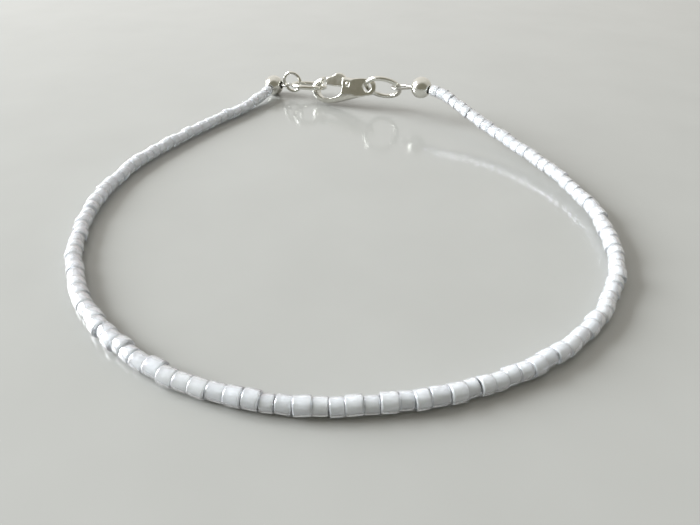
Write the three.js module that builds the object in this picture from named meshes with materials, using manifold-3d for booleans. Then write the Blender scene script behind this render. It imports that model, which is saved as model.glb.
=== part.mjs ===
// Beaded anklet: small cylinder beads on a hidden thread, closed at the back by a lobster clasp.
// Millimetres, +Z up. It lies on a level surface at Z = 0, the clasp at the back (+Y).
// The origin is the centre of the lying anklet's box, at its bottom.
import * as THREE from 'three';
import { mergeVertices } from 'three/addons/utils/BufferGeometryUtils.js';
import Module from 'manifold-3d';

const wasm = await Module();
wasm.setup();

// ---- driving dimensions ------------------------------------------------------------------

const GAP = 0.3; // clearance between pieces that touch on the real thing

const bead = {
  diameter: 2.0, // across the flats of the eight sides
  sides: 8,
  joint: 0.1, // gap between neighbours, along the thread
  neckRadius: 0.45, // what joins the beads along their thread
  count: 120,
  perArc: 12,
};

const ball = { radius: 2.0, wall: 0.3, holeRadius: 0.75 };

const threadWire = 0.45;
const ringWire = 0.9;
const smallRingWire = 0.6;
const jumpRingOuter = 7.6;
const smallRingOuter = 4.4;

const clasp = {
  thickness: 2.6,
  bevel: 0.6,
  noseX: -7.0, // the hook's outer end
  eyeX: 5.25, // centre of the eye
  eyeOuter: 1.8,
  eyeHole: 0.95,
  eyeThickness: 1.1,
  pinRadius: 0.35,
  pivotX: 1.3,
  pivotZ: 0.55,
  leverThickness: 1.2,
  leverBevel: 0.25,
  leverSlot: 1.8, // width of the slot between the cheeks
};

// Where the thread runs, from the left ball to the right ball, hand picked about 12 mm apart.
// The front and the left side lie on the surface, and the right side climbs to the raised clasp.
const route = [
  { x: -15.0, y: 41.0, z: 2.0 },
  { x: -18.8, y: 32.8, z: 1.15 },
  { x: -25.4, y: 23.6, z: 1.0 },
  { x: -31.8, y: 13.2, z: 1.0 },
  { x: -35.8, y: 2.6, z: 1.0 },
  { x: -36.4, y: -8.4, z: 1.0 },
  { x: -33.8, y: -20.0, z: 1.0 },
  { x: -27.0, y: -30.6, z: 1.0 },
  { x: -17.0, y: -38.2, z: 1.0 },
  { x: -5.5, y: -41.7, z: 1.0 },
  { x: 6.5, y: -41.4, z: 1.0 },
  { x: 18.0, y: -38.0, z: 1.0 },
  { x: 28.0, y: -31.3, z: 1.0 },
  { x: 34.8, y: -21.0, z: 1.05 },
  { x: 36.5, y: -9.5, z: 1.4 },
  { x: 34.3, y: 0.5, z: 1.9 },
  { x: 29.9, y: 9.8, z: 2.5 },
  { x: 24.5, y: 17.7, z: 3.8 },
  { x: 19.2, y: 24.9, z: 5.8 },
  { x: 15.0, y: 28.5, z: 6.0 },
];

// ---- materials ---------------------------------------------------------------------------

const pearl = new THREE.MeshStandardMaterial({ color: 0xf1efe9, roughness: 0.25, metalness: 0.0 });
const silver = new THREE.MeshStandardMaterial({ color: 0xd8d6cf, roughness: 0.15, metalness: 1.0 });
const wire = new THREE.MeshStandardMaterial({ color: 0xc9c8c2, roughness: 0.3, metalness: 1.0 });

// ---- helpers -----------------------------------------------------------------------------

function piece(name, geometry, material) {
  const mesh = new THREE.Mesh(geometry, material);
  mesh.name = name;
  return mesh;
}

function toSolid(geometry) {
  const bare = geometry.index ? geometry.clone() : geometry;
  bare.deleteAttribute('normal');
  bare.deleteAttribute('uv');
  const merged = mergeVertices(bare, 1e-4);
  const vertProperties = new Float32Array(merged.attributes.position.array);
  const triVerts = new Uint32Array(merged.index.array);
  return new wasm.Manifold(new wasm.Mesh({ numProp: 3, vertProperties, triVerts }));
}

function toGeometry(solid) {
  const mesh = solid.getMesh();
  const geometry = new THREE.BufferGeometry();
  geometry.setAttribute('position', new THREE.BufferAttribute(mesh.vertProperties, 3));
  geometry.setIndex(new THREE.BufferAttribute(mesh.triVerts, 1));
  geometry.computeVertexNormals();
  return geometry;
}

// An outline in the clasp's own X and Z, given its thickness along Y with rounded edges.
function plate(shape, thickness, bevel) {
  const geometry = new THREE.ExtrudeGeometry(shape, {
    depth: thickness - 2 * bevel,
    bevelEnabled: bevel > 0,
    bevelThickness: bevel,
    bevelSize: bevel,
    bevelOffset: -bevel,
    bevelSegments: 3,
    curveSegments: 10,
  });
  geometry.translate(0, 0, bevel - thickness / 2);
  geometry.rotateX(Math.PI / 2);
  return geometry;
}

// ---- the bead strand ---------------------------------------------------------------------

const threadPath = new THREE.CatmullRomCurve3(
  route.map((p) => new THREE.Vector3(p.x, p.y, p.z)), false, 'catmullrom', 0.5);
threadPath.arcLengthDivisions = 2000;
const threadLength = threadPath.getLength();
const strandStart = ball.radius + GAP;
const pitch = (threadLength - 2 * strandStart + bead.joint) / bead.count;
const beadLength = pitch - bead.joint;

// Bends a shape that is turned about Y so that its axis follows the thread from `start`.
function bendAlongThread(geometry, start) {
  const position = geometry.attributes.position;
  const up = new THREE.Vector3();
  const side = new THREE.Vector3();
  const point = new THREE.Vector3();
  for (let i = 0; i < position.count; i += 1) {
    const along = (start + position.getY(i)) / threadLength;
    const tangent = threadPath.getTangentAt(along);
    side.crossVectors(tangent, new THREE.Vector3(0, 0, 1)).normalize();
    up.crossVectors(side, tangent);
    threadPath.getPointAt(along, point);
    point.addScaledVector(side, position.getX(i));
    point.addScaledVector(up, position.getZ(i));
    position.setXYZ(i, point.x, point.y, point.z);
  }
  return geometry;
}

// A few beads joined along their thread: a turned profile of beads and necks, then bent.
function beadArc(firstBead, beads) {
  const cornerRadius = bead.diameter / 2 / Math.cos(Math.PI / bead.sides);
  const trim = (GAP - bead.joint) / 2; // off both ends, so that neighbouring arcs stay apart
  const profile = [new THREE.Vector2(0, trim)];
  for (let i = 0; i < beads; i += 1) {
    const isFirst = i === 0;
    const isLast = i === beads - 1;
    const low = i * pitch + (isFirst ? trim : 0);
    const high = i * pitch + beadLength - (isLast ? trim : 0);
    profile.push(new THREE.Vector2(cornerRadius, low));
    profile.push(new THREE.Vector2(cornerRadius, high));
    profile.push(new THREE.Vector2(isLast ? 0 : bead.neckRadius, isLast ? high : high + bead.joint / 2));
  }
  // Half a side's turn puts a flat side downwards, so the strand rests on flats.
  const geometry = new THREE.LatheGeometry(profile, bead.sides, Math.PI / bead.sides);
  return bendAlongThread(geometry, strandStart + firstBead * pitch);
}

function beadStrand() {
  const group = new THREE.Group();
  const arcs = bead.count / bead.perArc;
  for (let arc = 0; arc < arcs; arc += 1) {
    const first = arc * bead.perArc;
    const name = `bead_strand_${String(arc + 1).padStart(2, '0')}`;
    group.add(piece(name, beadArc(first, bead.perArc), pearl));
  }
  return group;
}

// ---- balls, loops and rings --------------------------------------------------------------

// A thin ball with one hole towards the fastening, at `loopSide` (+1 or -1) along X, and one
// towards the strand.
function coverBall(loopSide, strandDirection) {
  const shell = toSolid(new THREE.SphereGeometry(ball.radius, 20, 12))
    .subtract(toSolid(new THREE.SphereGeometry(ball.radius - ball.wall, 16, 10)));
  const bores = [new THREE.Vector3(loopSide, 0, 0), strandDirection];
  let solid = shell;
  for (const bore of bores) {
    const drill = new THREE.CylinderGeometry(ball.holeRadius, ball.holeRadius, ball.radius, 12);
    drill.translate(0, ball.radius, 0);
    drill.applyQuaternion(
      new THREE.Quaternion().setFromUnitVectors(new THREE.Vector3(0, 1, 0), bore));
    solid = solid.subtract(toSolid(drill));
  }
  return toGeometry(solid);
}

// A round ring of wire in the X-Z plane.
function wireRing(outerDiameter, wireDiameter, segments) {
  const middle = (outerDiameter - wireDiameter) / 2;
  const sides = 8;
  const profile = [];
  for (let i = 0; i <= sides; i += 1) {
    const angle = (i / sides) * 2 * Math.PI;
    const radius = middle + (wireDiameter / 2) * Math.cos(angle);
    profile.push(new THREE.Vector2(radius, (wireDiameter / 2) * Math.sin(angle)));
  }
  return new THREE.LatheGeometry(profile, segments);
}

// The closed drop-shaped loop in which the thread leaves a ball, in the X-Y plane, from its
// narrow end at `root` to its round end at `tip`.
function threadLoop(root, tip, halfWidth) {
  const reach = tip - root;
  const outline = [
    new THREE.Vector3(root, 0, 0),
    new THREE.Vector3(root + 0.35 * reach, halfWidth * 0.6, 0),
    new THREE.Vector3(root + 0.75 * reach, halfWidth, 0),
    new THREE.Vector3(tip, 0, 0),
    new THREE.Vector3(root + 0.75 * reach, -halfWidth, 0),
    new THREE.Vector3(root + 0.35 * reach, -halfWidth * 0.6, 0),
  ];
  const path = new THREE.CatmullRomCurve3(outline, true);
  return new THREE.TubeGeometry(path, 24, threadWire / 2, 6, true);
}

// ---- the clasp, in its own frame: X towards the eye, Z up, Y through its thickness ----------

function claspOutline() {
  const shape = new THREE.Shape();
  const eyeTurn = 1.05; // radians of the eye's rim on either side of its far end
  const cornerX = clasp.eyeX + clasp.eyeOuter * Math.cos(eyeTurn);
  const cornerZ = -clasp.eyeOuter * Math.sin(eyeTurn);
  shape.absarc(clasp.eyeX, 0, clasp.eyeOuter, -eyeTurn, eyeTurn, false);
  shape.bezierCurveTo(4.4, 1.75, 3.4, 1.65, 2.3, 1.75);
  shape.bezierCurveTo(0.6, 1.95, -1.6, 2.35, -3.4, 2.1);
  shape.bezierCurveTo(-5.5, 1.85, clasp.noseX, 0.9, clasp.noseX, -0.6);
  shape.bezierCurveTo(clasp.noseX, -2.3, -5.3, -3.3, -3.2, -3.3);
  shape.bezierCurveTo(-0.6, -3.3, 2.6, -1.9, cornerX, cornerZ);
  return shape;
}

// The hook's inside, from the pocket in the nose to the cheeks.
function hookHole() {
  const shape = new THREE.Shape();
  shape.moveTo(-5.6, -0.6);
  shape.bezierCurveTo(-5.6, -1.9, -4.6, -2.35, -3.2, -2.3);
  shape.bezierCurveTo(-1.7, -2.25, -0.6, -1.9, -0.1, -1.2);
  shape.lineTo(0.2, 0.2);
  shape.lineTo(-3.6, 0.8);
  shape.bezierCurveTo(-4.9, 1.05, -5.6, 0.6, -5.6, -0.6);
  return shape;
}

// The gate with its thumb tab, and the boss round the pin.
function leverOutline() {
  const shape = new THREE.Shape();
  shape.moveTo(2.15, 0.3);
  shape.absarc(clasp.pivotX, clasp.pivotZ, 0.85, -0.3, 1.4, false);
  shape.bezierCurveTo(0.9, 1.5, 0.6, 1.95, 0.1, 2.3);
  shape.bezierCurveTo(-0.4, 2.8, -1.5, 2.85, -1.9, 2.4);
  shape.bezierCurveTo(-2.4, 2.05, -3.0, 1.95, -3.8, 1.85);
  shape.lineTo(-3.8, 0.35);
  shape.bezierCurveTo(-2.6, 0.1, -0.8, -0.05, 0.7, -0.1);
  shape.lineTo(1.1, -0.28);
  shape.lineTo(2.15, 0.3);
  return shape;
}

// The room that the gate needs: the opening in the hook's side, cut right through.
function gateOpening() {
  const shape = new THREE.Shape();
  shape.moveTo(-4.2, 3.2);
  shape.lineTo(-4.2, 0.0);
  shape.lineTo(0.1, -0.6);
  shape.lineTo(0.1, 3.2);
  shape.lineTo(-4.2, 3.2);
  return shape;
}

// The slot between the cheeks, where the gate's boss turns.
function cheekSlot() {
  const shape = new THREE.Shape();
  shape.moveTo(-0.4, 3.2);
  shape.lineTo(-0.4, -1.3);
  shape.lineTo(2.1, -0.75);
  shape.lineTo(2.6, 0.2);
  shape.lineTo(2.6, 3.2);
  shape.lineTo(-0.4, 3.2);
  return shape;
}

function roundBar(radius, length, x, z, sides) {
  const geometry = new THREE.CylinderGeometry(radius, radius, length, sides);
  geometry.translate(x, 0, z);
  return geometry;
}

function claspBody() {
  const outer = toSolid(plate(claspOutline(), clasp.thickness, clasp.bevel));
  const hole = toSolid(plate(hookHole(), clasp.thickness + 1, 0));
  const gate = toSolid(plate(gateOpening(), clasp.thickness + 1, 0));
  const slot = toSolid(plate(cheekSlot(), clasp.leverSlot, 0));
  const eye = toSolid(roundBar(clasp.eyeHole, clasp.thickness + 1, clasp.eyeX, 0, 20));
  const pinHole = toSolid(
    roundBar(clasp.pinRadius + 0.1, clasp.thickness + 1, clasp.pivotX, clasp.pivotZ, 16));
  const shave = (clasp.thickness - clasp.eyeThickness) / 2;
  let body = outer.subtract(hole).subtract(gate).subtract(slot).subtract(eye).subtract(pinHole);
  // The body tapers to the thinner eye: two wedges come off its faces.
  for (const face of [-1, 1]) {
    const wedge = new THREE.Shape();
    wedge.moveTo(0.2, 2);
    wedge.lineTo(4.5, clasp.thickness / 2 - shave);
    wedge.lineTo(8, clasp.thickness / 2 - shave);
    wedge.lineTo(8, 2);
    wedge.lineTo(0.2, 2);
    const bar = new THREE.ExtrudeGeometry(wedge, { depth: 5, bevelEnabled: false });
    bar.translate(0, 0, -2.5);
    if (face < 0) {
      bar.rotateX(Math.PI);
    }
    body = body.subtract(toSolid(bar));
  }
  return toGeometry(body);
}

function claspLever() {
  const solid = toSolid(plate(leverOutline(), clasp.leverThickness, clasp.leverBevel));
  const bore = toSolid(
    roundBar(clasp.pinRadius + 0.1, clasp.thickness, clasp.pivotX, clasp.pivotZ, 16));
  return toGeometry(solid.subtract(bore));
}

// ---- assembly ----------------------------------------------------------------------------

const anklet = new THREE.Group();
anklet.add(beadStrand());

// The fastening runs straight from the left ball (X = 0) to the right ball (X = span).
const leftBall = new THREE.Vector3(route[0].x, route[0].y, route[0].z);
const last = route[route.length - 1];
const rightBall = new THREE.Vector3(last.x, last.y, last.z);
const span = leftBall.distanceTo(rightBall);
const direction = rightBall.clone().sub(leftBall).normalize();
const fastening = new THREE.Group();
fastening.position.copy(leftBall);
fastening.rotation.order = 'ZYX';
fastening.rotation.z = Math.atan2(direction.y, direction.x);
fastening.rotation.y = -Math.asin(direction.z);
anklet.add(fastening);

// Places along the fastening, from the left ball's centre.
const at = {
  smallRing: 4.65,
  leftRing: 8.5,
  clasp: 16.35,
  rightRing: 24.9,
};

// Puts a piece on the fastening's line, `x` along it and `z` above it, turned by degrees about
// the line (`roll`) and then about the axis across it (`dip`, right end down).
function put(mesh, x, z, roll, dip) {
  mesh.position.set(x, 0, z);
  mesh.rotation.order = 'YXZ';
  mesh.rotation.x = THREE.MathUtils.degToRad(roll);
  mesh.rotation.y = THREE.MathUtils.degToRad(dip);
  fastening.add(mesh);
  return mesh;
}

// The thread's direction as it leaves a ball, turned into the fastening's own frame.
function strandDirectionAt(along, sign) {
  anklet.updateMatrixWorld(true);
  const turn = new THREE.Quaternion().setFromRotationMatrix(fastening.matrixWorld).invert();
  return threadPath.getTangentAt(along).multiplyScalar(sign).applyQuaternion(turn);
}

put(piece('cover_ball_left', coverBall(1, strandDirectionAt(0, 1)), silver), 0, 0, 0, 0);
put(piece('cover_ball_right', coverBall(-1, strandDirectionAt(1, -1)), silver), span, 0, 0, 0);
put(piece('thread_loop_left', threadLoop(1.2, 3.85, 0.65), wire), 0, 0.1, 0, 0);
put(piece('small_ring_left', wireRing(smallRingOuter, smallRingWire, 24), silver),
  at.smallRing, 0.75, 0, 0);
put(piece('jump_ring_left', wireRing(jumpRingOuter, ringWire, 28), silver),
  at.leftRing, 0, 77, 6);
put(piece('jump_ring_right', wireRing(jumpRingOuter, ringWire, 28), silver),
  at.rightRing, -0.1, 42, 0);
put(piece('thread_loop_right', threadLoop(1.2, span - 26.75, 1.15), wire), span, 0, 0, 180);

const claspGroup = new THREE.Group();
claspGroup.position.set(at.clasp, 0, -0.1);
claspGroup.rotation.x = THREE.MathUtils.degToRad(-20);
fastening.add(claspGroup);
claspGroup.add(piece('clasp_body', claspBody(), silver));
claspGroup.add(piece('clasp_lever', claspLever(), silver));
claspGroup.add(piece('lever_pin',
  roundBar(clasp.pinRadius, clasp.thickness - 0.1, clasp.pivotX, clasp.pivotZ, 12), silver));

export default anklet;
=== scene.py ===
"""Looks for a beaded anklet: pearl beads on a beading wire, closed by a lobster clasp.

Pieces are shaped in millimetres, in the solid model's own frame, and scaled when they are done.
"""

import math

import bmesh
import bpy
from mathutils import Euler, Matrix, Vector


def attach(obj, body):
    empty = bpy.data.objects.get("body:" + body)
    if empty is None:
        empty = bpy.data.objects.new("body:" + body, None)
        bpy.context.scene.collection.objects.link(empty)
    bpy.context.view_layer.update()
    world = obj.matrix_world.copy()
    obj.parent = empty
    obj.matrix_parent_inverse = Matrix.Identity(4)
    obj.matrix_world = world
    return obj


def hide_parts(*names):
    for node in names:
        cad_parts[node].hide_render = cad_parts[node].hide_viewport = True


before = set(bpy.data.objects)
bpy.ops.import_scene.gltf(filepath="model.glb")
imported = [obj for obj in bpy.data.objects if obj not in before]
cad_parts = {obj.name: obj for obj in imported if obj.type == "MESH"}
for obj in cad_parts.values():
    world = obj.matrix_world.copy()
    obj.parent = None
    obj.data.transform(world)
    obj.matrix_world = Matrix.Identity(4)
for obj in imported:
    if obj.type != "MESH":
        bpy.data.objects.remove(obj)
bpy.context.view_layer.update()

MM = 0.001

# The floor's reach from its middle, in metres.
FLOOR_REACH = 1.5

# ---- sizes, in millimetres -----------------------------------------------------------------

BEAD_DIAMETER = 2.06
BEAD_HOLE = 1.15
BEAD_COUNT = 120
BEAD_JOINT = 0.03
BEAD_EDGE = 0.12
BEAD_SIDES = 20
# How unevenly the beads are made and strung: shares of a bead, millimetres and degrees.
BEAD_LENGTH_SPREAD = 0.16
BEAD_DIAMETER_SPREAD = 0.065
BEAD_WANDER = 0.15
BEAD_TILT = 5.0
BEAD_ORDER = 7
# Faces this close to the hole's wall carry its lining.
LINING_DEPTH = 0.01

BALL_RADIUS = 2.0
BALL_WALL = 0.3
BALL_BORE = 0.75
BALL_GRAIN = 0.08
BALL_TUMBLING = 4
CLEARANCE = 0.3

THREAD_WIRE = 0.45
THREAD_STRANDS = 6
THREAD_GROOVE = 0.04
THREAD_PITCH = 2.4
THREAD_STEP = 0.3
LOOP_STEP = 0.12

# The wire loops, along the fastening from their own ball; the right tip is given from the left ball.
LOOP_ROOT = 1.2
LEFT_LOOP_LIFT = 0.1
LEFT_LOOP_TIP = 3.85
LEFT_LOOP_HALF_WIDTH = 0.65
RIGHT_LOOP_TIP = 26.75
RIGHT_LOOP_HALF_WIDTH = 1.15

RING_WIRE = 0.9
RING_OUTER = 7.6
SMALL_RING_WIRE = 0.6
SMALL_RING_OUTER = 4.4
RING_STEPS = 72
RING_SIDES = 20

# The rings' places on the fastening: along it from the left ball, up from it, and turned in degrees.
RINGS = [
    {"name": "small_ring_left", "outer": SMALL_RING_OUTER, "wire": SMALL_RING_WIRE,
     "along": 4.65, "up": 0.75, "roll": 0.0, "dip": 0.0, "cut_at": 60, "cut_width": 0.05},
    {"name": "jump_ring_left", "outer": RING_OUTER, "wire": RING_WIRE,
     "along": 8.5, "up": 0.0, "roll": 77.0, "dip": 6.0, "cut_at": 100, "cut_width": 0.07},
    {"name": "jump_ring_right", "outer": RING_OUTER, "wire": RING_WIRE,
     "along": 24.9, "up": -0.1, "roll": 42.0, "dip": 0.0, "cut_at": 250, "cut_width": 0.07},
]

# The clasp's place on the fastening, in the rings' terms, and how finely its castings are made.
CLASP_ALONG = 16.35
CLASP_UP = -0.1
CLASP_ROLL = -20.0
CLASP_GRAIN = 0.075
CLASP_TUMBLING = 40
LEVER_GRAIN = 0.07
LEVER_TUMBLING = 20

# The clasp's domed faces, in its own X (towards the eye) and Z (up).
DOME_CENTRE = (-0.6, -0.2)
DOME_REACH = (8.5, 3.3)
DOME_DEPTH = 0.55

# The lever's pin: its place in the clasp, its size, and its heads' crowns and shoulders.
PIN_PLACE = (1.3, 0.0, 0.55)
PIN_RADIUS = 0.35
PIN_REACH = 1.25
PIN_SHOULDER = 0.08
PIN_CROWN = 0.05
PIN_CROWN_EDGE = 0.03
PIN_CROWN_RADIUS = 0.2

# The thread from the left ball to the right ball, through points given about 12 mm apart.
ROUTE = [
    (-15.0, 41.0, 2.0),
    (-18.8, 32.8, 1.15),
    (-25.4, 23.6, 1.0),
    (-31.8, 13.2, 1.0),
    (-35.8, 2.6, 1.0),
    (-36.4, -8.4, 1.0),
    (-33.8, -20.0, 1.0),
    (-27.0, -30.6, 1.0),
    (-17.0, -38.2, 1.0),
    (-5.5, -41.7, 1.0),
    (6.5, -41.4, 1.0),
    (18.0, -38.0, 1.0),
    (28.0, -31.3, 1.0),
    (34.8, -21.0, 1.05),
    (36.5, -9.5, 1.4),
    (34.3, 0.5, 1.9),
    (29.9, 9.8, 2.5),
    (24.5, 17.7, 3.8),
    (19.2, 24.9, 5.8),
    (15.0, 28.5, 6.0),
]


# ---- paths ---------------------------------------------------------------------------------


def smooth_path(points, steps, closed=False):
    """Points on a smooth curve through the given ones, `steps` to each stretch."""
    count = len(points)
    stretches = count if closed else count - 1

    def at(index):
        if closed:
            return points[index % count]
        if index < 0:
            return 2 * points[0] - points[1]
        if index >= count:
            return 2 * points[-1] - points[-2]
        return points[index]

    path = []
    for stretch in range(stretches):
        before, start, end, after = (at(stretch + offset) for offset in (-1, 0, 1, 2))
        for step in range(steps):
            t = step / steps
            linear = (end - before) * t
            square = (2 * before - 5 * start + 4 * end - after) * t**2
            cubic = (3 * start - before - 3 * end + after) * t**3
            path.append((2 * start + linear + square + cubic) / 2)
    if not closed:
        path.append(points[-1])
    return path


def fastening_frame(left, right):
    """The fastening's own frame: its origin at the left ball and its X axis to the right one."""
    direction = (right - left).normalized()
    heading = math.atan2(direction.y, direction.x)
    climb = -math.asin(direction.z)
    turn = Matrix.Rotation(heading, 4, "Z") @ Matrix.Rotation(climb, 4, "Y")
    return Matrix.Translation(left) @ turn


THREAD = smooth_path([Vector(point) for point in ROUTE], 32)
LEFT_BALL = THREAD[0]
RIGHT_BALL = THREAD[-1]
SPAN = (RIGHT_BALL - LEFT_BALL).length
FASTENING = fastening_frame(LEFT_BALL, RIGHT_BALL)


def on_fastening(along, up, roll, dip=0.0):
    """The place of a piece on the fastening: turned about the line, then about the axis across."""
    turn = Matrix.Rotation(math.radians(dip), 4, "Y") @ Matrix.Rotation(math.radians(roll), 4, "X")
    return FASTENING @ Matrix.Translation((along, 0.0, up)) @ turn


CLASP = on_fastening(CLASP_ALONG, CLASP_UP, CLASP_ROLL)


# ---- meshes --------------------------------------------------------------------------------


def add_object(name, mesh):
    made = bpy.data.objects.new(name, mesh)
    bpy.context.scene.collection.objects.link(made)
    return made


def baked(source):
    """The evaluated mesh of an object, whose own object and modifiers are then removed."""
    graph = bpy.context.evaluated_depsgraph_get()
    mesh = bpy.data.meshes.new_from_object(
        source.evaluated_get(graph), preserve_all_data_layers=True, depsgraph=graph)
    bpy.data.objects.remove(source)
    return mesh


def finish_piece(name, mesh, body, slot, *replaced):
    """Scales a millimetre mesh to metres, smooths its shading, and sets it on its body."""
    mesh.transform(Matrix.Scale(MM, 4))
    mesh.shade_smooth()
    piece = add_object(name, mesh)
    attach(piece, body)
    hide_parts(*replaced)
    return piece


def path_object(name, points, closed=False):
    """A wire mesh that carries a path into Geometry Nodes."""
    last = len(points) if closed else len(points) - 1
    edges = [(index, (index + 1) % len(points)) for index in range(last)]
    mesh = bpy.data.meshes.new(name)
    mesh.from_pydata([tuple(point) for point in points], edges, [])
    return add_object(name, mesh)


def turned(profile, sides):
    """A closed turned solid about Z, from (radius, height) pairs that start and end on the axis."""
    mesh = bmesh.new()
    rings = []
    for radius, height in profile:
        if radius < 1e-6:
            rings.append([mesh.verts.new((0.0, 0.0, height))])
            continue
        ring = []
        for side in range(sides):
            angle = 2 * math.pi * side / sides
            ring.append(mesh.verts.new((radius * math.cos(angle), radius * math.sin(angle), height)))
        rings.append(ring)
    for low, high in zip(rings, rings[1:]):
        for side in range(sides):
            after = (side + 1) % sides
            corners = [low[side % len(low)], low[after % len(low)],
                       high[after % len(high)], high[side % len(high)]]
            unique = list(dict.fromkeys(corners))
            mesh.faces.new(unique)
    bmesh.ops.recalc_face_normals(mesh, faces=mesh.faces)
    return mesh


def to_mesh(name, shape):
    mesh = bpy.data.meshes.new(name)
    shape.to_mesh(mesh)
    shape.free()
    return mesh


# ---- node trees ----------------------------------------------------------------------------


def add_node(tree, kind, inputs=None, **settings):
    """A node with its settings, and its inputs given by name or number as values or sockets."""
    node = tree.nodes.new(kind)
    for name, value in settings.items():
        setattr(node, name, value)
    for key, value in (inputs or {}).items():
        socket = node.inputs[key]
        if isinstance(value, bpy.types.NodeSocket):
            tree.links.new(value, socket)
        else:
            socket.default_value = value
    return node


def math_node(tree, operation, first, second=0.0, third=0.0):
    node = add_node(tree, "ShaderNodeMath", {0: first, 1: second, 2: third}, operation=operation)
    return node.outputs[0]


def shape_tree(name, inputs):
    """A Geometry Nodes tree with named inputs, and its input and output nodes."""
    tree = bpy.data.node_groups.new(name, "GeometryNodeTree")
    tree.is_modifier = True
    tree.interface.new_socket("Geometry", in_out="INPUT", socket_type="NodeSocketGeometry")
    for label, kind in inputs.items():
        tree.interface.new_socket(label, in_out="INPUT", socket_type=f"NodeSocket{kind}")
    tree.interface.new_socket("Geometry", in_out="OUTPUT", socket_type="NodeSocketGeometry")
    return tree, tree.nodes.new("NodeGroupInput"), tree.nodes.new("NodeGroupOutput")


def close_tree(tree, source, given, result):
    """Ends a tree in Realize Instances and Set Material."""
    real = add_node(tree, "GeometryNodeRealizeInstances", {"Geometry": source})
    clad = add_node(tree, "GeometryNodeSetMaterial", {
        "Geometry": real.outputs[0],
        "Material": given.outputs["Material"],
    })
    tree.links.new(clad.outputs[0], result.inputs[0])


def grown(source, tree, values):
    """The mesh that a tree makes of an object."""
    modifier = source.modifiers.new(tree.name, "NODES")
    modifier.node_group = tree
    for item in tree.interface.items_tree:
        if item.in_out == "INPUT" and item.name in values:
            modifier[item.identifier] = values[item.name]
    return baked(source)


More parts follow.
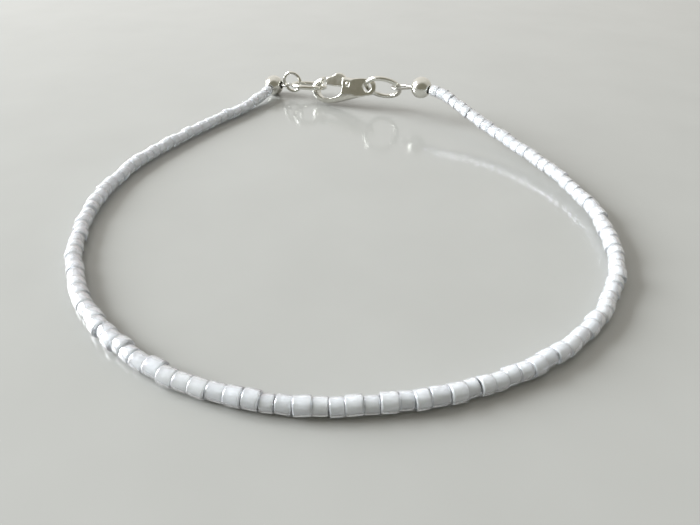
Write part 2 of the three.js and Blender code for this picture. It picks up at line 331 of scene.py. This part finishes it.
def bead_string_tree():
    """Beads of uneven length and width along a path, each a ring with rounded rims."""
    tree, given, result = shape_tree("bead_string", {
        "Bead Count": "Int",
        "Start Gap": "Float",
        "Joint": "Float",
        "Diameter": "Float",
        "Hole": "Float",
        "Edge": "Float",
        "Length Spread": "Float",
        "Diameter Spread": "Float",
        "Wander": "Float",
        "Tilt": "Float",
        "Seed": "Int",
        "Material": "Material",
        "Lining": "Material",
    })
    value = given.outputs
    path = add_node(tree, "GeometryNodeMeshToCurve", {"Mesh": value["Geometry"]}).outputs[0]
    length = add_node(tree, "GeometryNodeCurveLength", {"Curve": path}).outputs[0]
    index = add_node(tree, "GeometryNodeInputIndex").outputs[0]

    def chance(low, high, shift):
        seed = math_node(tree, "ADD", value["Seed"], shift)
        node = add_node(tree, "FunctionNodeRandomValue", data_type="FLOAT")
        for key, given_value in (("Min", low), ("Max", high), ("ID", index), ("Seed", seed)):
            socket = next(s for s in node.inputs if s.name == key and s.enabled)
            if isinstance(given_value, bpy.types.NodeSocket):
                tree.links.new(given_value, socket)
            else:
                socket.default_value = given_value
        return next(s for s in node.outputs if s.enabled)

    def around_one(spread, shift):
        low = math_node(tree, "SUBTRACT", 1.0, spread)
        high = math_node(tree, "ADD", 1.0, spread)
        return chance(low, high, shift)

    share = around_one(value["Length Spread"], 1)
    running = add_node(tree, "GeometryNodeAccumulateField", {0: share}, data_type="FLOAT")
    free_length = math_node(tree, "MULTIPLY_ADD", value["Start Gap"], -2.0, length)
    step = math_node(tree, "DIVIDE", free_length, running.outputs["Total"])
    half_share = math_node(tree, "MULTIPLY_ADD", share, 0.5, running.outputs["Trailing"])
    centre = math_node(tree, "MULTIPLY_ADD", half_share, step, value["Start Gap"])
    reach = math_node(tree, "MULTIPLY", share, step)
    bead_length = math_node(tree, "SUBTRACT", reach, value["Joint"])

    sample = add_node(tree, "GeometryNodeSampleCurve", {"Curves": path, "Length": centre},
                      mode="LENGTH", use_all_curves=True)
    tangent = sample.outputs["Tangent"]
    side = add_node(tree, "ShaderNodeVectorMath", {0: tangent, 1: (0.0, 0.0, 1.0)},
                    operation="CROSS_PRODUCT").outputs[0]
    girth = around_one(value["Diameter Spread"], 2)
    wander = chance(math_node(tree, "MULTIPLY", value["Wander"], -1.0), value["Wander"], 3)
    sideways = add_node(tree, "ShaderNodeVectorMath", {0: side, "Scale": wander},
                        operation="SCALE").outputs[0]
    radius = math_node(tree, "MULTIPLY", value["Diameter"], 0.5)
    lift = math_node(tree, "MULTIPLY", math_node(tree, "SUBTRACT", girth, 1.0), radius)
    upward = add_node(tree, "ShaderNodeCombineXYZ", {"Z": lift}).outputs[0]
    moved = add_node(tree, "ShaderNodeVectorMath", {0: sideways, 1: upward},
                     operation="ADD").outputs[0]
    place = add_node(tree, "ShaderNodeVectorMath", {0: sample.outputs["Position"], 1: moved},
                     operation="ADD").outputs[0]
    points = add_node(tree, "GeometryNodePoints", {"Count": value["Bead Count"]}).outputs[0]
    placed = add_node(tree, "GeometryNodeSetPosition", {
        "Geometry": points,
        "Position": place,
    }).outputs[0]
    toned = add_node(tree, "GeometryNodeStoreNamedAttribute", {
        "Geometry": placed,
        "Name": "bead_tone",
        "Value": chance(0.0, 1.0, 4),
    }, data_type="FLOAT", domain="POINT").outputs[0]

    wall = math_node(tree, "MULTIPLY", math_node(tree, "SUBTRACT", value["Diameter"], value["Hole"]), 0.5)
    middle = math_node(tree, "MULTIPLY", math_node(tree, "ADD", value["Diameter"], value["Hole"]), 0.25)
    section = add_node(tree, "GeometryNodeCurvePrimitiveQuadrilateral",
                       {"Width": wall, "Height": 1.0}).outputs[0]
    rounded = add_node(tree, "GeometryNodeFilletCurve", {
        "Curve": section,
        "Count": 2,
        "Radius": value["Edge"],
    }, mode="POLY").outputs[0]
    circle = add_node(tree, "GeometryNodeCurvePrimitiveCircle",
                      {"Resolution": BEAD_SIDES, "Radius": middle}).outputs[0]
    plain_bead = add_node(tree, "GeometryNodeCurveToMesh",
                          {"Curve": circle, "Profile Curve": rounded}).outputs[0]
    spot = add_node(tree, "GeometryNodeInputPosition").outputs[0]
    across = add_node(tree, "ShaderNodeVectorMath", {0: spot, 1: (1.0, 1.0, 0.0)},
                      operation="MULTIPLY").outputs[0]
    off_axis = add_node(tree, "ShaderNodeVectorMath", {0: across},
                        operation="LENGTH").outputs["Value"]
    hole_radius = math_node(tree, "MULTIPLY", value["Hole"], 0.5)
    in_hole = math_node(tree, "LESS_THAN", off_axis, math_node(tree, "ADD", hole_radius, LINING_DEPTH))
    bead = add_node(tree, "GeometryNodeStoreNamedAttribute", {
        "Geometry": plain_bead,
        "Name": "lined",
        "Value": in_hole,
    }, data_type="FLOAT", domain="FACE").outputs[0]

    aim = add_node(tree, "FunctionNodeAlignRotationToVector", {"Vector": tangent}, axis="Z")
    lean = math_node(tree, "MULTIPLY", value["Tilt"], -1.0)
    nod = add_node(tree, "ShaderNodeCombineXYZ", {
        "X": chance(lean, value["Tilt"], 5),
        "Y": chance(lean, value["Tilt"], 6),
        "Z": chance(0.0, 2 * math.pi, 7),
    }).outputs[0]
    loose = add_node(tree, "FunctionNodeRotateRotation", {
        "Rotation": aim.outputs[0],
        "Rotate By": add_node(tree, "FunctionNodeEulerToRotation", {0: nod}).outputs[0],
    }, rotation_space="LOCAL").outputs[0]
    size = add_node(tree, "ShaderNodeCombineXYZ", {"X": girth, "Y": girth, "Z": bead_length})
    strung = add_node(tree, "GeometryNodeInstanceOnPoints", {
        "Points": toned,
        "Instance": bead,
        "Rotation": loose,
        "Scale": size.outputs[0],
    }).outputs[0]
    real = add_node(tree, "GeometryNodeRealizeInstances", {"Geometry": strung}).outputs[0]
    clad = add_node(tree, "GeometryNodeSetMaterial", {
        "Geometry": real,
        "Material": value["Material"],
    }).outputs[0]
    lined = add_node(tree, "GeometryNodeInputNamedAttribute", {"Name": "lined"},
                     data_type="FLOAT").outputs[0]
    filled = add_node(tree, "GeometryNodeSetMaterial", {
        "Geometry": clad,
        "Selection": math_node(tree, "GREATER_THAN", lined, 0.5),
        "Material": value["Lining"],
    }).outputs[0]
    tree.links.new(filled, result.inputs[0])
    return tree


def wire_tree():
    """Twisted wire along a path: strands round a core, with a pitch in millimetres."""
    tree, given, result = shape_tree("laid_wire", {
        "Radius": "Float",
        "Strands": "Int",
        "Groove": "Float",
        "Pitch": "Float",
        "Step": "Float",
        "Material": "Material",
    })
    value = given.outputs
    path = add_node(tree, "GeometryNodeMeshToCurve", {"Mesh": value["Geometry"]}).outputs[0]
    even = add_node(tree, "GeometryNodeResampleCurve", {"Curve": path, "Length": value["Step"]},
                    mode="LENGTH").outputs[0]
    along = add_node(tree, "GeometryNodeSplineParameter").outputs["Length"]
    turns = math_node(tree, "DIVIDE", along, value["Pitch"])
    tilt = math_node(tree, "MULTIPLY", turns, 2 * math.pi)
    twisted = add_node(tree, "GeometryNodeSetCurveTilt", {"Curve": even, "Tilt": tilt}).outputs[0]
    inner = math_node(tree, "SUBTRACT", value["Radius"], value["Groove"])
    section = add_node(tree, "GeometryNodeCurveStar", {
        "Points": value["Strands"],
        "Inner Radius": inner,
        "Outer Radius": value["Radius"],
        "Twist": 0.0,
    }).outputs[0]
    wire = add_node(tree, "GeometryNodeCurveToMesh", {
        "Curve": twisted,
        "Profile Curve": section,
        "Fill Caps": True,
    }).outputs[0]
    close_tree(tree, wire, given, result)
    return tree


def round_wire_tree():
    """Plain round wire along a path, with closed ends."""
    tree, given, result = shape_tree("round_wire", {
        "Radius": "Float",
        "Sides": "Int",
        "Material": "Material",
    })
    value = given.outputs
    path = add_node(tree, "GeometryNodeMeshToCurve", {"Mesh": value["Geometry"]}).outputs[0]
    section = add_node(tree, "GeometryNodeCurvePrimitiveCircle", {
        "Resolution": value["Sides"],
        "Radius": value["Radius"],
    }).outputs[0]
    wire = add_node(tree, "GeometryNodeCurveToMesh", {
        "Curve": path,
        "Profile Curve": section,
        "Fill Caps": True,
    }).outputs[0]
    close_tree(tree, wire, given, result)
    return tree


# ---- finishes ------------------------------------------------------------------------------


def new_material(name):
    material = bpy.data.materials.new(name)
    material.use_nodes = True
    tree = material.node_tree
    return material, tree, tree.nodes["Principled BSDF"]


def object_noise(tree, scale, detail=4.0, stretch=(1.0, 1.0, 1.0)):
    """A noise value on the piece's own coordinates; `scale` is in features per metre."""
    where = add_node(tree, "ShaderNodeTexCoord").outputs["Object"]
    pulled = add_node(tree, "ShaderNodeMapping", {"Vector": where, "Scale": stretch}).outputs[0]
    return add_node(tree, "ShaderNodeTexNoise",
                    {"Vector": pulled, "Scale": scale, "Detail": detail}).outputs[0]


def between(tree, factor, low, high):
    return add_node(tree, "ShaderNodeMapRange",
                    {"Value": factor, "To Min": low, "To Max": high}).outputs[0]


def colour_between(tree, factor, low, high):
    ramp = add_node(tree, "ShaderNodeValToRGB", {"Fac": factor})
    ramp.color_ramp.elements[0].color = (*low, 1.0)
    ramp.color_ramp.elements[1].color = (*high, 1.0)
    return ramp.outputs[0]


def set_values(shader, **values):
    for name, value in values.items():
        shader.inputs[name.replace("_", " ")].default_value = value


def pearl_glaze():
    """White glass beads with a pearl lustre, each bead of its own tone."""
    material, tree, shader = new_material("pearl_glaze")
    tone = add_node(tree, "ShaderNodeAttribute", attribute_name="bead_tone").outputs["Fac"]
    cloud = object_noise(tree, 900.0)
    mixed = math_node(tree, "MULTIPLY_ADD", cloud, 0.5, math_node(tree, "MULTIPLY", tone, 0.5))
    colour = colour_between(tree, mixed, (0.91, 0.94, 0.98), (0.97, 0.99, 1.0))
    tree.links.new(colour, shader.inputs["Base Color"])
    fine = object_noise(tree, 5200.0)
    tree.links.new(between(tree, fine, 0.04, 0.14), shader.inputs["Roughness"])
    ripple = object_noise(tree, 1300.0, detail=1.0)
    rippled = add_node(tree, "ShaderNodeBump",
                       {"Height": ripple, "Strength": 0.6, "Distance": 0.00012}).outputs[0]
    bump = add_node(tree, "ShaderNodeBump", {
        "Height": fine,
        "Strength": 0.25,
        "Distance": 0.00002,
        "Normal": rippled,
    }).outputs[0]
    tree.links.new(bump, shader.inputs["Normal"])
    set_values(shader, Transmission_Weight=0.68, IOR=1.52, Coat_Weight=1.0,
               Coat_Roughness=0.03, Coat_IOR=1.8,
               Thin_Film_Thickness=380.0, Thin_Film_IOR=1.6)
    return material


def white_lining():
    """The opaque white lining of each bead's hole, seen through the glass."""
    material, tree, shader = new_material("white_lining")
    cloud = object_noise(tree, 2500.0)
    colour = colour_between(tree, cloud, (0.90, 0.92, 0.95), (0.97, 0.98, 1.0))
    tree.links.new(colour, shader.inputs["Base Color"])
    tree.links.new(between(tree, cloud, 0.3, 0.5), shader.inputs["Roughness"])
    return material


def polished_silver():
    """Polished silver with fine handling scratches, a faint tarnish, and a dull warm tint that is painted
    reflection of the dim olive room.
    """
    material, tree, shader = new_material("polished_silver")
    tarnish_and_reflection_tint = object_noise(tree, 700.0, detail=6.0)
    # The dull warm low end of this colour range is painted reflection of the dim olive room; the mottling
    # across it is tarnish.
    colour = colour_between(tree, tarnish_and_reflection_tint, (0.62, 0.605, 0.54), (0.89, 0.88, 0.84))
    tree.links.new(colour, shader.inputs["Base Color"])
    scratches = object_noise(tree, 2600.0, detail=8.0, stretch=(0.25, 3.0, 3.0))
    tree.links.new(between(tree, scratches, 0.08, 0.24), shader.inputs["Roughness"])
    dents = object_noise(tree, 420.0, detail=2.0)
    waved = add_node(tree, "ShaderNodeBump",
                     {"Height": dents, "Strength": 0.5, "Distance": 0.0002}).outputs[0]
    bump = add_node(tree, "ShaderNodeBump", {
        "Height": scratches,
        "Strength": 0.12,
        "Distance": 0.00002,
        "Normal": waved,
    }).outputs[0]
    tree.links.new(bump, shader.inputs["Normal"])
    set_values(shader, Metallic=1.0)
    return material


def stringing_wire():
    """Fine drawn beading wire, a little duller than the silver."""
    material, tree, shader = new_material("stringing_wire")
    drawn = object_noise(tree, 4000.0, detail=5.0)
    colour = colour_between(tree, drawn, (0.52, 0.51, 0.48), (0.80, 0.79, 0.76))
    tree.links.new(colour, shader.inputs["Base Color"])
    tree.links.new(between(tree, drawn, 0.22, 0.40), shader.inputs["Roughness"])
    set_values(shader, Metallic=1.0)
    return material


def pale_counter():
    """A plain pale surface, smooth enough to mirror bright glints."""
    material, tree, shader = new_material("pale_counter")
    mottle = object_noise(tree, 60.0, detail=3.0)
    colour = colour_between(tree, mottle, (0.352, 0.350, 0.335), (0.392, 0.390, 0.375))
    tree.links.new(colour, shader.inputs["Base Color"])
    set_values(shader, Roughness=0.14, IOR=1.45)
    return material


PEARL = pearl_glaze()
LINING = white_lining()
SILVER = polished_silver()
WIRE = stringing_wire()


# ---- the strand ----------------------------------------------------------------------------


def string_beads():
    mesh = grown(path_object("thread_path", THREAD), bead_string_tree(), {
        "Bead Count": BEAD_COUNT,
        "Start Gap": BALL_RADIUS + CLEARANCE,
        "Joint": BEAD_JOINT,
        "Diameter": BEAD_DIAMETER,
        "Hole": BEAD_HOLE,
        "Edge": BEAD_EDGE,
        "Length Spread": BEAD_LENGTH_SPREAD,
        "Diameter Spread": BEAD_DIAMETER_SPREAD,
        "Wander": BEAD_WANDER,
        "Tilt": math.radians(BEAD_TILT),
        "Seed": BEAD_ORDER,
        "Material": PEARL,
        "Lining": LINING,
    })
    strands = [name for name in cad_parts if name.startswith("bead_strand")]
    finish_piece("pearl_beads", mesh, "anklet", "pearl_beads", *strands)


def lay_wire(path, laid_wire, step):
    """The stringing wire along a path, with a ring of its section every `step`."""
    return grown(path, laid_wire, {
        "Radius": THREAD_WIRE / 2,
        "Strands": THREAD_STRANDS,
        "Groove": THREAD_GROOVE,
        "Pitch": THREAD_PITCH,
        "Step": step,
        "Material": WIRE,
    })


def run_thread(laid_wire):
    mesh = lay_wire(path_object("thread_line", THREAD), laid_wire, THREAD_STEP)
    finish_piece("beading_wire", mesh, "anklet", "stringing_wire")


def thread_loop(root, tip, half_width):
    """The closed drop-shaped loop of wire between a ball and its ring."""
    reach = tip - root
    outline = [
        (root, 0.0),
        (root + 0.35 * reach, 0.6 * half_width),
        (root + 0.75 * reach, half_width),
        (tip, 0.0),
        (root + 0.75 * reach, -half_width),
        (root + 0.35 * reach, -0.6 * half_width),
    ]
    return smooth_path([Vector((x, y, 0.0)) for x, y in outline], 16, closed=True)


def bend_loop(name, laid_wire, place, tip, half_width):
    points = [place @ point for point in thread_loop(LOOP_ROOT, tip, half_width)]
    mesh = lay_wire(path_object(f"{name}_path", points, closed=True), laid_wire, LOOP_STEP)
    finish_piece(f"{name}_wire", mesh, "anklet", "stringing_wire", name)


# ---- rings, balls and clasp ----------------------------------------------------------------


def bend_ring(round_wire, name, outer, wire, along, up, roll, dip, cut_at, cut_width):
    """A ring of round wire, sawn through once and closed up again."""
    place = on_fastening(along, up, roll, dip)
    middle = (outer - wire) / 2
    half_cut = cut_width / 2 / middle
    start = math.radians(cut_at) + half_cut
    points = []
    for step in range(RING_STEPS + 1):
        angle = start + (2 * math.pi - 2 * half_cut) * step / RING_STEPS
        points.append(place @ Vector((middle * math.cos(angle), 0.0, middle * math.sin(angle))))
    mesh = grown(path_object(f"{name}_path", points), round_wire, {
        "Radius": wire / 2,
        "Sides": RING_SIDES,
        "Material": SILVER,
    })
    finish_piece(f"{name}_bent", mesh, "anklet", "polished_silver", name)


def cast_skin(source, grain, tumbling):
    """A smooth cast surface over a closed millimetre mesh object, its edges worn by tumbling."""
    remesh = source.modifiers.new("cast", "REMESH")
    remesh.mode = "VOXEL"
    remesh.voxel_size = grain
    smooth = source.modifiers.new("tumbled", "SMOOTH")
    smooth.factor = 0.5
    smooth.iterations = tumbling
    return baked(source)


def merged_solid(name, node):
    """A millimetre copy of a solid, its loose triangles merged."""
    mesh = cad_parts[node].data.copy()
    mesh.transform(Matrix.Scale(1 / MM, 4))
    shape = bmesh.new()
    shape.from_mesh(mesh)
    bmesh.ops.remove_doubles(shape, verts=shape.verts, dist=0.0005)
    shape.to_mesh(mesh)
    shape.free()
    mesh.materials.clear()
    return add_object(name, mesh)


def dome_faces(mesh, place):
    """Thins a flat casting towards its edges, so that both of its faces swell like a lens."""
    back = place.inverted()
    for vertex in mesh.vertices:
        local = back @ vertex.co
        rise = (local.z - DOME_CENTRE[1]) / DOME_REACH[1]
        run = (local.x - DOME_CENTRE[0]) / DOME_REACH[0]
        local.y *= 1.0 - DOME_DEPTH * min(1.0, rise**2 + run**2)
        vertex.co = place @ local


def cast_piece(name, node, body, grain, tumbling):
    mesh = cast_skin(merged_solid(f"{name}_blank", node), grain, tumbling)
    dome_faces(mesh, CLASP)
    mesh.materials.clear()
    mesh.materials.append(SILVER)
    finish_piece(name, mesh, body, "polished_silver", node)


def cover_ball(name, node, centre, bores):
    """A thin hollow ball, drilled for the thread and for its loop."""
    drill_start = BALL_RADIUS * 0.2
    drill_end = BALL_RADIUS * 1.5
    shape = bmesh.new()
    bmesh.ops.create_uvsphere(shape, u_segments=48, v_segments=32, radius=BALL_RADIUS)
    inner = bmesh.ops.create_uvsphere(
        shape, u_segments=48, v_segments=32, radius=BALL_RADIUS - BALL_WALL)
    inner_faces = {face for vertex in inner["verts"] for face in vertex.link_faces}
    bmesh.ops.reverse_faces(shape, faces=list(inner_faces))
    shell = add_object(f"{name}_shell", to_mesh(f"{name}_shell", shape))
    cutters = []
    for number, bore in enumerate(bores):
        drill = turned([(0.0, drill_start), (BALL_BORE, drill_start),
                        (BALL_BORE, drill_end), (0.0, drill_end)], 32)
        drill.transform(bore.to_track_quat("Z", "Y").to_matrix().to_4x4())
        cutters.append(add_object(f"{name}_drill_{number}", to_mesh("drill", drill)))
    for cutter in cutters:
        cut = shell.modifiers.new("bore", "BOOLEAN")
        cut.operation = "DIFFERENCE"
        cut.solver = "EXACT"
        cut.object = cutter
    mesh = cast_skin(shell, BALL_GRAIN, BALL_TUMBLING)
    for cutter in cutters:
        bpy.data.objects.remove(cutter)
    mesh.transform(Matrix.Translation(centre))
    mesh.materials.clear()
    mesh.materials.append(SILVER)
    finish_piece(name, mesh, "anklet", "polished_silver", node)


def rivet_pin():
    """The lever's pin, with low domed heads."""
    head = [
        (PIN_RADIUS, PIN_REACH - PIN_SHOULDER),
        (PIN_CROWN_RADIUS, PIN_REACH + PIN_CROWN_EDGE),
        (0.0, PIN_REACH + PIN_CROWN),
    ]
    foot = [(radius, -height) for radius, height in reversed(head)]
    shape = turned(foot + head, 24)
    pivot = CLASP @ Matrix.Translation(PIN_PLACE) @ Matrix.Rotation(math.pi / 2, 4, "X")
    shape.transform(pivot)
    mesh = to_mesh("rivet_pin", shape)
    mesh.materials.append(SILVER)
    finish_piece("rivet_pin", mesh, "anklet", "polished_silver", "lever_pin")


def build_fastening():
    laid_wire = wire_tree()
    round_wire = round_wire_tree()
    run_thread(laid_wire)
    at_left_ball = on_fastening(0.0, LEFT_LOOP_LIFT, 0.0)
    at_right_ball = on_fastening(SPAN, 0.0, 0.0, 180.0)
    bend_loop("thread_loop_left", laid_wire, at_left_ball, LEFT_LOOP_TIP, LEFT_LOOP_HALF_WIDTH)
    bend_loop("thread_loop_right", laid_wire, at_right_ball,
              SPAN - RIGHT_LOOP_TIP, RIGHT_LOOP_HALF_WIDTH)
    for ring in RINGS:
        bend_ring(round_wire, **ring)
    line = (RIGHT_BALL - LEFT_BALL).normalized()
    cover_ball("cover_ball_left_shell", "cover_ball_left", LEFT_BALL,
               [line, (THREAD[1] - THREAD[0]).normalized()])
    cover_ball("cover_ball_right_shell", "cover_ball_right", RIGHT_BALL,
               [-line, (THREAD[-2] - THREAD[-1]).normalized()])
    cast_piece("clasp_cast", "clasp_body", "anklet", CLASP_GRAIN, CLASP_TUMBLING)
    cast_piece("lever_cast", "clasp_lever", "lever", LEVER_GRAIN, LEVER_TUMBLING)
    rivet_pin()


# ---- surroundings --------------------------------------------------------------------------


def lay_floor():
    shape = bmesh.new()
    bmesh.ops.create_grid(shape, x_segments=1, y_segments=1, size=FLOOR_REACH)
    floor = add_object("floor", to_mesh("floor", shape))
    floor.data.materials.append(pale_counter())


def light_room():
    """A pale room, brighter towards the window and dim on the near side."""
    world = bpy.data.worlds.new("room")
    world.use_nodes = True
    bpy.context.scene.world = world
    tree = world.node_tree
    background = tree.nodes["Background"]
    direction = add_node(tree, "ShaderNodeTexCoord").outputs["Generated"]

    def lobe(axis, low, high):
        facing = add_node(tree, "ShaderNodeVectorMath",
                          {0: direction, 1: Vector(axis).normalized()}, operation="DOT_PRODUCT")
        return add_node(tree, "ShaderNodeMapRange", {
            "Value": facing.outputs["Value"],
            "From Min": low,
            "From Max": high,
        }, interpolation_type="SMOOTHSTEP").outputs[0]

    def blend(factor, below, above):
        mix = add_node(tree, "ShaderNodeMix", {0: factor}, data_type="RGBA")
        for socket, colour in ((mix.inputs[6], below), (mix.inputs[7], above)):
            if isinstance(colour, bpy.types.NodeSocket):
                tree.links.new(colour, socket)
            else:
                socket.default_value = (*colour, 1.0)
        return mix.outputs[2]

    walls = blend(lobe((-0.7, 0.6, 0.4), -0.4, 0.9), (0.66, 0.65, 0.60), (1.0, 0.98, 0.94))
    near_side = blend(lobe((0.0, -1.0, 0.0), 0.06, 0.6), walls, (0.26, 0.25, 0.20))
    tree.links.new(near_side, background.inputs["Color"])
    background.inputs["Strength"].default_value = 0.92


def hang_light(name, location, size, power, colour):
    """A square soft light, in metres, aimed at the anklet's middle."""
    data = bpy.data.lights.new(name, "AREA")
    data.size = size
    data.energy = power
    data.color = colour
    lamp = add_object(name, data)
    lamp.location = location
    lamp.rotation_euler = (-Vector(location)).to_track_quat("-Z", "Y").to_euler()


def place_camera():
    """Close in front of the anklet, looking down at it."""
    data = bpy.data.cameras.new("camera")
    data.sensor_width = 36.0
    data.lens = 27.77
    data.clip_start = 0.001
    camera = add_object("camera", data)
    camera.location = Vector((1.3, -74.0, 43.4)) * MM
    looking_down = 38.0
    camera.rotation_euler = Euler((math.radians(90.0 - looking_down), 0.0, 0.0))
    bpy.context.scene.camera = camera


bpy.context.scene.view_settings.view_transform = "Standard"
place_camera()
string_beads()
build_fastening()
lay_floor()
light_room()
hang_light("window", location=(-0.95, 0.22, 0.40), size=0.62, power=30.0, colour=(0.92, 0.97, 1.0))
